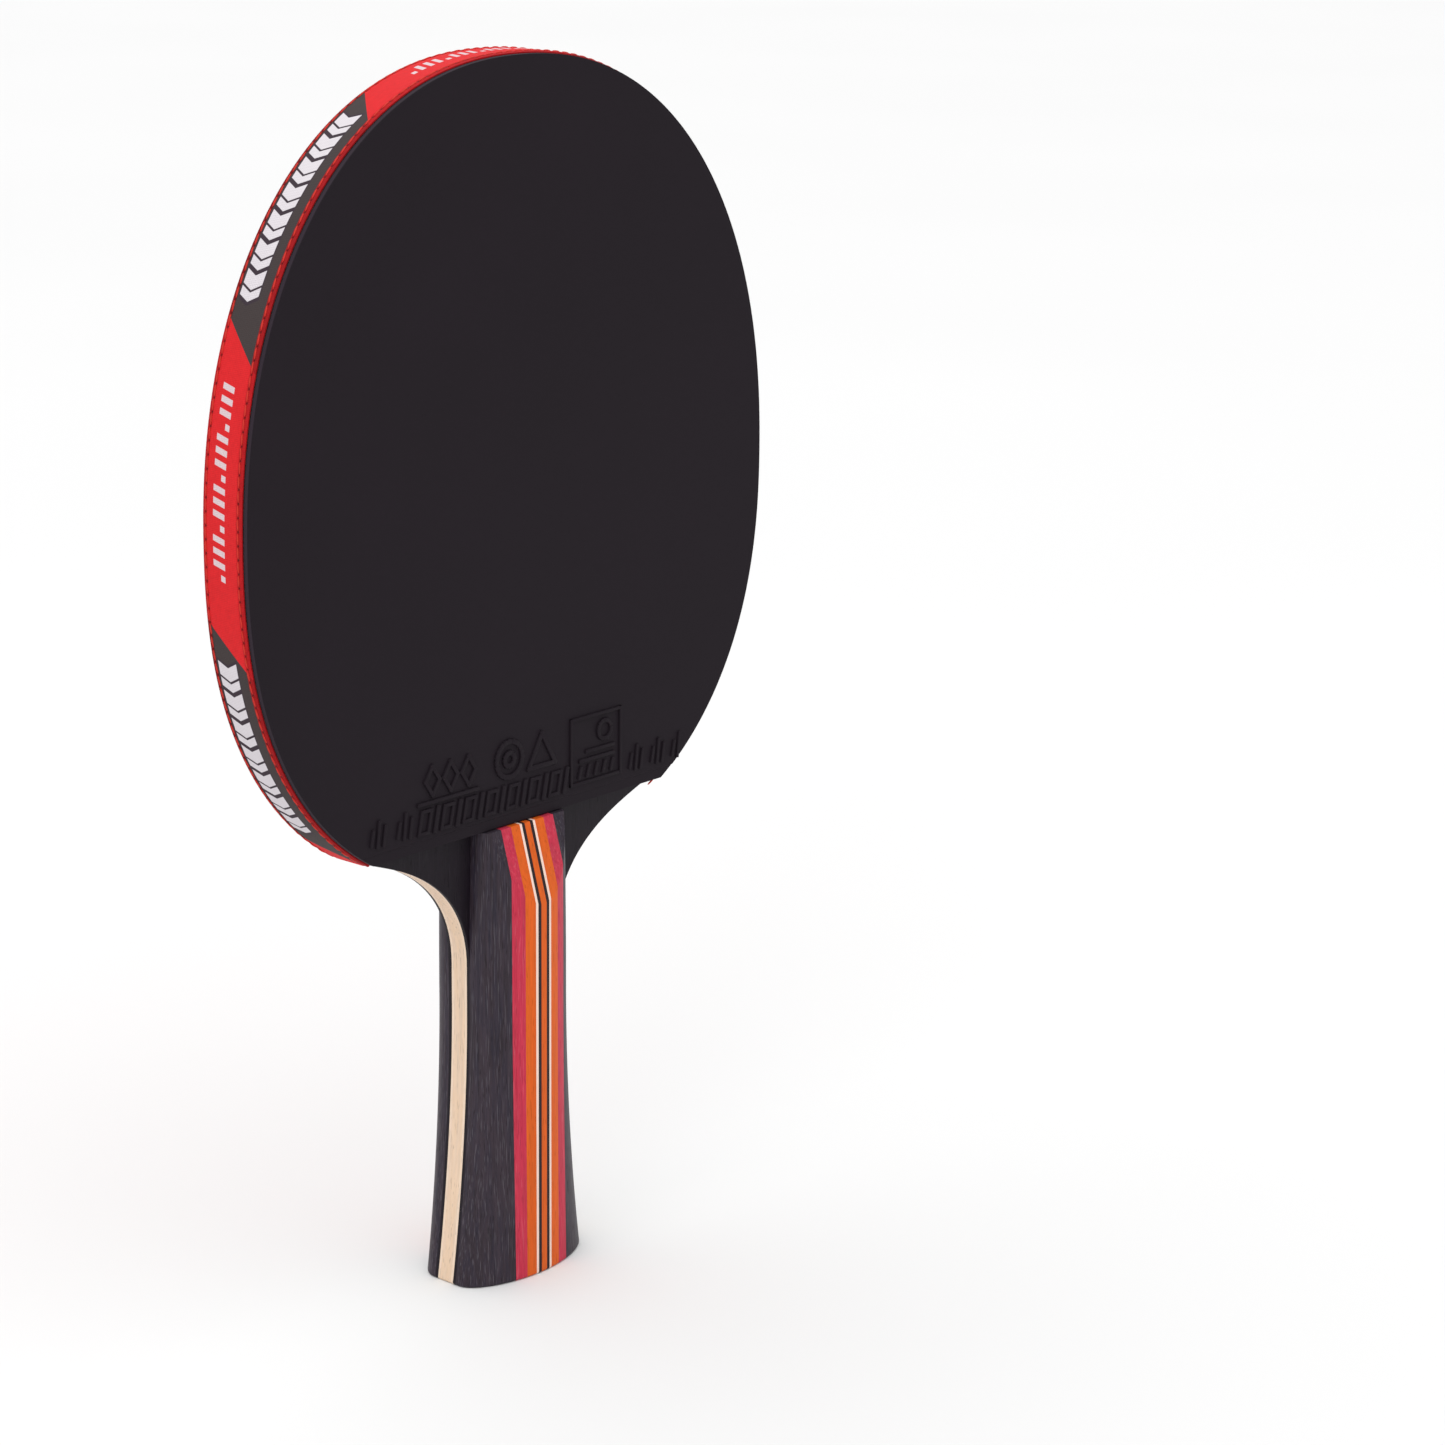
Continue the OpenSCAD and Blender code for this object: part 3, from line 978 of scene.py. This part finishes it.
class PADDLE_OT_edge_tape(bpy.types.Operator):
    """Build the woven tape around the rim and its two rows of stitches"""

    bl_idname = "paddle.edge_tape"
    bl_label = "Edge tape"

    def execute(self, context):
        tape = context.scene.paddle_tape
        section = TapeSection(tape)
        ribbon = self.build_ribbon(tape, section)
        thread = thread_paint("thread", tape.thread)
        seams = [self.build_seam(tape, section, face, thread) for face in FACES]
        around = Paddle().rim(2 * MM, section.thickness)[-1].along
        return {"FINISHED"}

    def build_ribbon(self, tape, section):
        """Draws the rim's line across the tape's width, then thickens it down to the rim."""
        bm = bmesh.new()
        out = bm.verts.layers.float_vector.new("out")
        along = bm.verts.layers.float.new("along")
        steps_per_stitch, columns = 6, 28
        stations = Paddle().rim(section.pitch / steps_per_stitch)
        line = []
        for station in stations:
            vert = bm.verts.new((station.x, section.low_y, station.z))
            vert[out] = Vector((station.out_x, 0, station.out_z))
            vert[along] = station.along
            line.append(vert)
        edges = [bm.edges.new(pair) for pair in zip(line, line[1:])]
        for _ in range(columns):
            grown = bmesh.ops.extrude_edge_only(bm, edges=edges)
            bmesh.ops.translate(bm, verts=verts_of(grown), vec=(0, section.width / columns, 0))
            edges = [part for part in grown["geom"] if isinstance(part, bmesh.types.BMEdge)]
        grown = bmesh.ops.extrude_face_region(bm, geom=bm.faces[:])
        for vert in verts_of(grown):
            vert.co += vert[out] * section.lift(vert.co.y - section.low_y, vert[along])
        bmesh.ops.recalc_face_normals(bm, faces=bm.faces[:])
        uv = bm.loops.layers.uv.new("cloth")
        for face in bm.faces:
            for loop in face.loops:
                loop[uv].uv = (loop.vert[along], loop.vert.co.y - section.low_y)
        bm.verts.layers.float_vector.remove(out)
        bm.verts.layers.float.remove(along)
        return finish_piece(bm, "edge_tape", TapePaint(tape, section).finish())

    def build_seam(self, tape, section, face, thread):
        """Lays one row of stitches along a border."""
        node = face + "_tape_stitching"
        low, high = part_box(node)
        seam_y = seam_centre(face)
        half_w = (high.y - low.y) / 2
        stitch = bmesh.new()
        bmesh.ops.create_icosphere(stitch, subdivisions=2, radius=1)
        surface = section.lift(seam_y - section.low_y, section.pitch / 2)
        size = Matrix.Diagonal((tape.stitch_l / 2, half_w * 0.8, tape.stitch_t / 2, 1))
        lean = Matrix.Rotation(tape.stitch_lean, 4, "Z")
        across = Vector((0, 1, 0))
        places = []
        for station in Paddle().rim(section.pitch)[:-1]:
            out = Vector((station.out_x, 0, station.out_z))
            run = across.cross(out)
            spot = Vector((station.x, seam_y, station.z)) + out * surface + run * section.pitch / 2
            basis = Matrix((run, across, out)).transposed().to_4x4()
            places.append(Matrix.Translation(spot) @ basis @ lean @ size)
        bm = bmesh.new()
        stamp(bm, stitch, places)
        return finish_piece(bm, node, thread)


# ---- Handle ----

class PADDLE_OT_handle(bpy.types.Operator):
    """Build the strips of both handle scales"""

    bl_idname = "paddle.handle"
    bl_label = "Handle scales"

    def execute(self, context):
        paddle = Paddle()
        block = scale_block(paddle)
        for face in FACES:
            nodes = [face + "_centre_strip"]
            nodes += [f"{face}_{side}_{strip}" for side in SIDES for strip in SIDE_STRIPS]
            for node in nodes:
                slot = laminate_slot(node)
                finish_piece(laminate_strip(block, node, face), node, wood(slot))
        block.free()
        return {"FINISHED"}


def laminate_slot(node):
    """The material slot of a strip, which is named for its colour."""
    if node.endswith("centre_strip"):
        return "orange_wood"
    return node.split("_")[2] + "_wood"


def scale_block(paddle):
    """One whole handle scale on the +Y side, before it is told apart into strips."""
    columns, rows = 110, 72
    handle = paddle.handle
    bm = bmesh.new()
    bmesh.ops.create_grid(bm, x_segments=columns, y_segments=rows, size=1)
    for vert in bm.verts:
        z = paddle.scale_top * (vert.co.y + 1) / 2
        x = paddle.half_width(z) * math.sin(vert.co.x * math.pi / 2)
        vert.co = (x, paddle.crown_at(x, z), z)
    outline = [edge for edge in bm.edges if edge.is_boundary]
    grown = bmesh.ops.extrude_edge_only(bm, edges=outline)
    for vert in verts_of(grown):
        vert.co.y = paddle.blade_y
    base = [part for part in grown["geom"] if isinstance(part, bmesh.types.BMEdge)]
    bmesh.ops.edgeloop_fill(bm, edges=base)
    simplify_butt(bm, paddle)
    bmesh.ops.recalc_face_normals(bm, faces=bm.faces[:])
    slope = (paddle.crown_y - handle.tip_t / 2) / handle.ramp_l
    cut(bm, (0, handle.tip_t / 2, paddle.edge_z), (0, 1, slope))
    butt = [
        edge for edge in bm.edges
        if all(vert.co.z < TINY for vert in edge.verts)
        and not all(vert.co.y < paddle.blade_y + TINY for vert in edge.verts)
    ]
    round_edges(bm, butt, handle.end_round, 4)
    return bm


def simplify_butt(bm, paddle):
    """Makes the scale's end one face with a straight base, so that its edges can be rounded."""
    end = [face for face in bm.faces if all(vert.co.z < TINY for vert in face.verts)]
    bmesh.ops.dissolve_faces(bm, faces=end)
    base_line = [
        vert for vert in bm.verts
        if vert.co.z < TINY and vert.co.y < paddle.blade_y + TINY
        and abs(vert.co.x) < paddle.butt_w / 2 - TINY
    ]
    bmesh.ops.dissolve_verts(bm, verts=base_line)


def laminate_strip(block, node, face):
    """Cuts a strip out of a scale, between the levels of x that its CAD node has.

    A grey side is cut on its inner side only, since its outer side is the scale's own."""
    low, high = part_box(node)
    bm = block.copy()
    sign = 1 if face == "back" else -1
    inner, outer = sorted((sign * low.x, sign * high.x))
    if "grey_side" not in node or inner > 0:
        cut(bm, (inner, 0, 0), (-1, 0, 0))
    if "grey_side" not in node or outer < 0:
        cut(bm, (outer, 0, 0), (1, 0, 0))
    if face == "front":
        half_turn(bm)
    return bm


# ---- Stage ----

class PADDLE_OT_stage(bpy.types.Operator):
    """Set up the camera, the soft lights and the pale floor"""

    bl_idname = "paddle.stage"
    bl_label = "Stage"

    def execute(self, context):
        scene = context.scene
        stage = scene.paddle_stage
        self.add_camera(scene, stage)
        self.add_floor(scene, stage)
        self.add_light(scene, "key_light", Vector((-1.3, -0.35, 1.1)), 1.1, stage.key_power)
        self.add_sky(scene, stage)
        scene.view_settings.view_transform = "Standard"
        return {"FINISHED"}

    def add_camera(self, scene, stage):
        """Points the camera by its azimuth and elevation, then rolls it about its view."""
        turn, tilt = stage.azimuth, stage.elevation
        view = Vector((-math.sin(turn) * math.cos(tilt), math.cos(turn) * math.cos(tilt), -math.sin(tilt)))
        right = Vector((math.cos(turn), math.sin(turn), 0))
        basis = Matrix((right, right.cross(view), -view)).transposed().to_4x4()
        data = bpy.data.cameras.new("camera")
        data.lens = stage.lens
        data.sensor_width = 36
        camera = bpy.data.objects.new("camera", data)
        camera.matrix_world = Matrix.Translation(stage.place) @ basis @ Matrix.Rotation(stage.roll, 4, "Z")
        scene.collection.objects.link(camera)
        scene.camera = camera

    def add_floor(self, scene, stage):
        bm = bmesh.new()
        bmesh.ops.create_grid(bm, x_segments=1, y_segments=1, size=20)
        bmesh.ops.translate(bm, verts=bm.verts[:], vec=(0, 0, -0.05 * MM))
        mesh = to_mesh(bm, "floor")
        floor = bpy.data.objects.new("floor", mesh)
        mesh.materials.append(floor_paint("pale_floor", stage.floor_share))
        scene.collection.objects.link(floor)

    def add_sky(self, scene, stage):
        """Lights the scene from all around, and more from above, as a large overhead softbox does.

        The camera itself sees plain white."""
        world = bpy.data.worlds.new("studio")
        world.use_nodes = True
        nodes = Nodes(world.node_tree)
        direction = nodes.add("ShaderNodeTexCoord", output="Generated")
        up = nodes.add("ShaderNodeSeparateXYZ", {}, {"Vector": direction}, "Z").larger(0)
        sky = world.node_tree.nodes["Background"].inputs
        nodes.feed(sky["Color"], (1, 1, 1, 1))
        light = stage.horizon_strength + stage.overhead_gain * up
        nodes.feed(sky["Strength"], light.larger(nodes.add("ShaderNodeLightPath", output="Is Camera Ray")))
        scene.world = world

    def add_light(self, scene, name, place, size, power):
        """Adds a square light that faces the middle of the paddle."""
        aim = Vector((0, 0, 0.13))
        data = bpy.data.lights.new(name, "AREA")
        data.size = size
        data.energy = power
        light = bpy.data.objects.new(name, data)
        turn = (aim - place).to_track_quat("-Z", "Y").to_matrix().to_4x4()
        light.matrix_world = Matrix.Translation(place) @ turn
        scene.collection.objects.link(light)


# ---- Panel and main ----

OPERATORS = (
    PADDLE_OT_stage, PADDLE_OT_blade, PADDLE_OT_sponges, PADDLE_OT_topsheets, PADDLE_OT_edge_tape,
    PADDLE_OT_handle,
)
GROUPS = {
    "paddle_head": PADDLE_PG_head,
    "paddle_handle": PADDLE_PG_handle,
    "paddle_rubbers": PADDLE_PG_rubbers,
    "paddle_tape": PADDLE_PG_tape,
    "paddle_woods": PADDLE_PG_woods,
    "paddle_stage": PADDLE_PG_stage,
}


class PADDLE_PT_panel(bpy.types.Panel):
    """Lists the operators and the settings that they use"""

    bl_idname = "PADDLE_PT_panel"
    bl_label = "Table tennis paddle"
    bl_space_type = "VIEW_3D"
    bl_region_type = "UI"
    bl_category = "Paddle"

    def draw(self, context):
        for operator in OPERATORS:
            self.layout.operator(operator.bl_idname)
        for group, settings in GROUPS.items():
            box = self.layout.box()
            box.label(text=settings.__doc__)
            for setting in settings.__annotations__:
                box.prop(getattr(context.scene, group), setting)


def register():
    for group, settings in GROUPS.items():
        bpy.utils.register_class(settings)
        setattr(bpy.types.Scene, group, PointerProperty(type=settings))
    for operator in OPERATORS:
        bpy.utils.register_class(operator)
    bpy.utils.register_class(PADDLE_PT_panel)


def unregister():
    bpy.utils.unregister_class(PADDLE_PT_panel)
    for operator in reversed(OPERATORS):
        bpy.utils.unregister_class(operator)
    for group, settings in reversed(GROUPS.items()):
        delattr(bpy.types.Scene, group)
        bpy.utils.unregister_class(settings)


def main():
    register()
    bpy.ops.paddle.stage()
    bpy.ops.paddle.blade()
    bpy.ops.paddle.sponges()
    bpy.ops.paddle.topsheets()
    bpy.ops.paddle.edge_tape()
    bpy.ops.paddle.handle()


if __name__ == "__main__":
    main()
